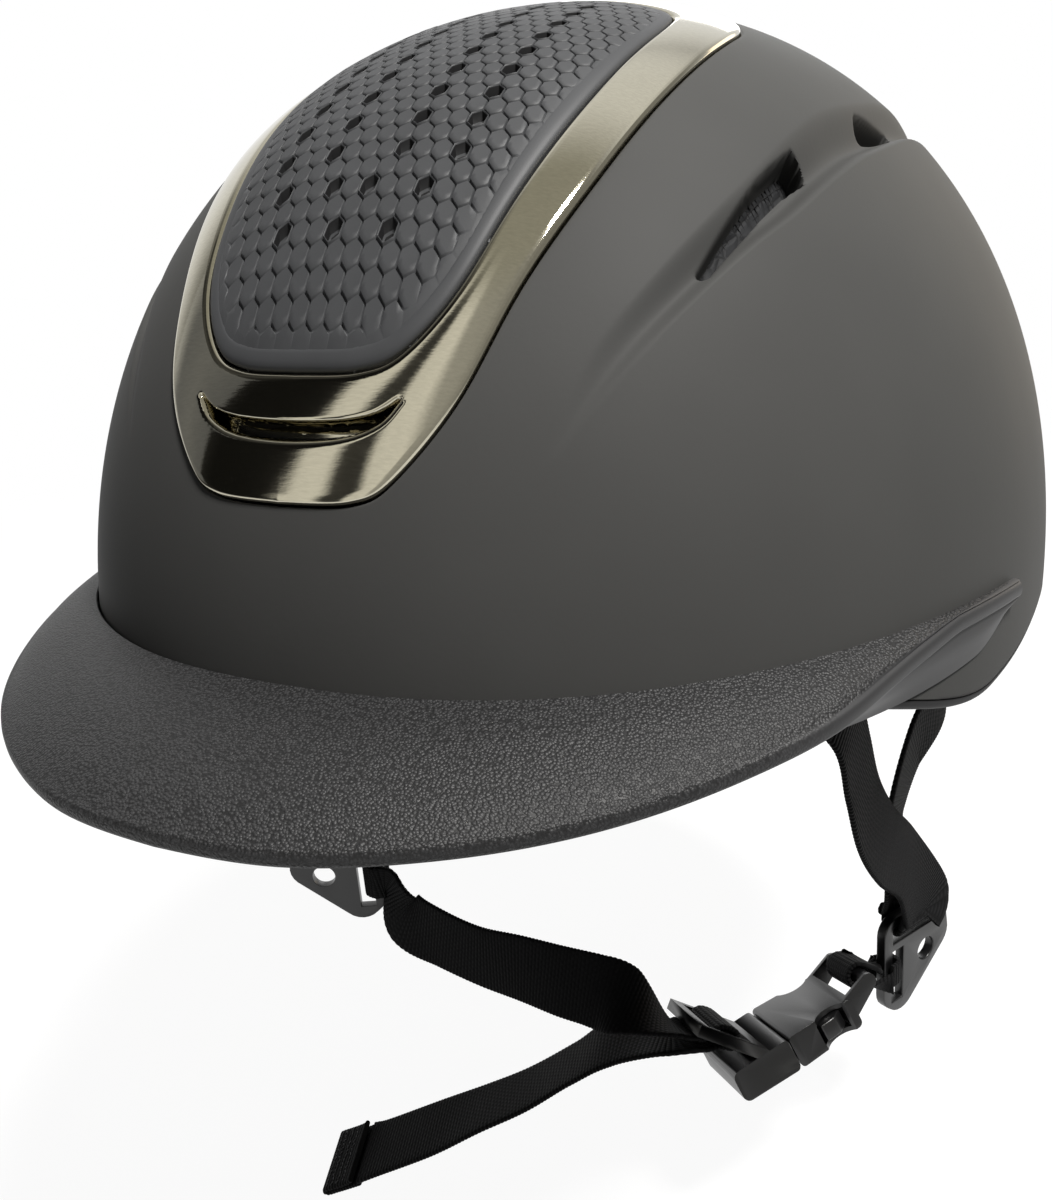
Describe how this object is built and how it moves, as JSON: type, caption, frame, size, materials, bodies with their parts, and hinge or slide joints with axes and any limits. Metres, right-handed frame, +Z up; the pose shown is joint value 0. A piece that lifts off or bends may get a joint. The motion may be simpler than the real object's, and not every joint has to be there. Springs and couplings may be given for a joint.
{
  "type": "riding helmet",
  "caption": "Riding helmet with metal trim frame, honeycomb vent panel, grained visor, foam liner, dial fit harness, webbing straps and side release buckle.",
  "frame": {"origin": "centre of the wearer's head, level with the ear openings", "axes": "+Z up, the front towards -Y, the wearer's left towards +X"},
  "size_m": [0.2216, 0.3039, 0.3153],
  "materials": {
    "shell_coat": "soft-touch matt coat over moulded plastic",
    "edge_plastic": "moulded black plastic",
    "trim_metal": "dark gunmetal, satin",
    "panel_rubber": "matt rubber with raised cells",
    "net_plastic": "fine black net",
    "visor_leather": "black grained cover",
    "liner_foam": "moulded bead foam, painted black",
    "pad_fabric": "knitted pad cover",
    "webbing": "woven nylon webbing",
    "buckle_plastic": "moulded acetal",
    "harness_plastic": "moulded nylon",
    "pinion_plastic": "natural acetal",
    "screw_steel": "blackened steel",
    "spring_steel": "spring steel"
  },
  "bodies": {
    "helmet": {"outer_shell": "shell_coat", "rim_cover": "edge_plastic", "trim_frame": "trim_metal", "top_panel": "panel_rubber", "intake_mesh": "net_plastic", "vent_mesh_left": "net_plastic", "vent_mesh_right": "net_plastic", "visor": "visor_leather", "foam_liner": "liner_foam", "brow_pad": "pad_fabric", "crown_pad": "pad_fabric", "side_pad_left": "pad_fabric", "side_pad_right": "pad_fabric", "front_strap_left": "webbing", "front_strap_right": "webbing", "rear_strap_left": "webbing", "rear_strap_right": "webbing", "strap_anchors": "edge_plastic", "divider_left": "edge_plastic", "divider_right": "edge_plastic", "chin_strap": "webbing", "buckle_loop": "webbing", "buckle_socket": "buckle_plastic", "temple_pins": "edge_plastic"},
    "harness_arm_left": {"harness_arm_left": "harness_plastic"},
    "harness_arm_right": {"harness_arm_right": "harness_plastic"},
    "dial_housing": {"dial_base": "harness_plastic", "dial_cover": "harness_plastic", "dial_screws": "screw_steel", "nape_pad": "pad_fabric", "detent_spring": "spring_steel"},
    "fit_dial": {"fit_dial": "harness_plastic", "pinion": "pinion_plastic"},
    "buckle_plug": {"buckle_plug": "buckle_plastic", "tail_strap": "webbing", "strap_end": "webbing"},
    "prong_left": {"prong_left": "buckle_plastic"},
    "prong_right": {"prong_right": "buckle_plastic"}
  },
  "joints": [
    {"name": "fit_dial_turn", "type": "hinge", "parent": "dial_housing", "child": "fit_dial", "pos_m": [0, 0.1, -0.046], "axis": [0, 1, 0], "range_deg": [-75, 75]},
    {"name": "nape_housing_shift", "type": "slide", "parent": "helmet", "child": "dial_housing", "axis": [0, 1, 0], "range_m": [-0.00371, 0.00371]},
    {"name": "arm_left_swing", "type": "hinge", "parent": "helmet", "child": "harness_arm_left", "pos_m": [0.0772, -0.012, 0.02], "axis": [0, 0, 1], "range_deg": [-2.8, 2.8]},
    {"name": "arm_right_swing", "type": "hinge", "parent": "helmet", "child": "harness_arm_right", "pos_m": [-0.0772, -0.012, 0.02], "axis": [0, 0, 1], "range_deg": [-2.8, 2.8]},
    {"name": "buckle_release", "type": "slide", "parent": "helmet", "child": "buckle_plug", "axis": [-0.6269, -0.7178, -0.3029], "range_m": [0, 0.028], "deforming": ["chin_strap", "prong_left", "prong_right"]},
    {"name": "prong_left_press", "type": "hinge", "parent": "buckle_plug", "child": "prong_left", "pos_m": [0.05663, -0.02819, -0.11063], "axis": [-0.4718, 0.0404, 0.8808], "range_deg": [0, 8], "stiffness_Nm_per_rad": 0.6},
    {"name": "prong_right_press", "type": "hinge", "parent": "buckle_plug", "child": "prong_right", "pos_m": [0.04485, -0.01498, -0.11755], "axis": [0.4718, -0.0404, -0.8808], "range_deg": [0, 8], "stiffness_Nm_per_rad": 0.6}
  ],
  "couplings": [
    {"joint": "fit_dial_turn", "follows": "nape_housing_shift", "rad_per_m": 352.98},
    {"joint": "arm_left_swing", "follows": "nape_housing_shift", "rad_per_m": -12.953},
    {"joint": "arm_right_swing", "follows": "nape_housing_shift", "rad_per_m": 12.953}
  ]
}
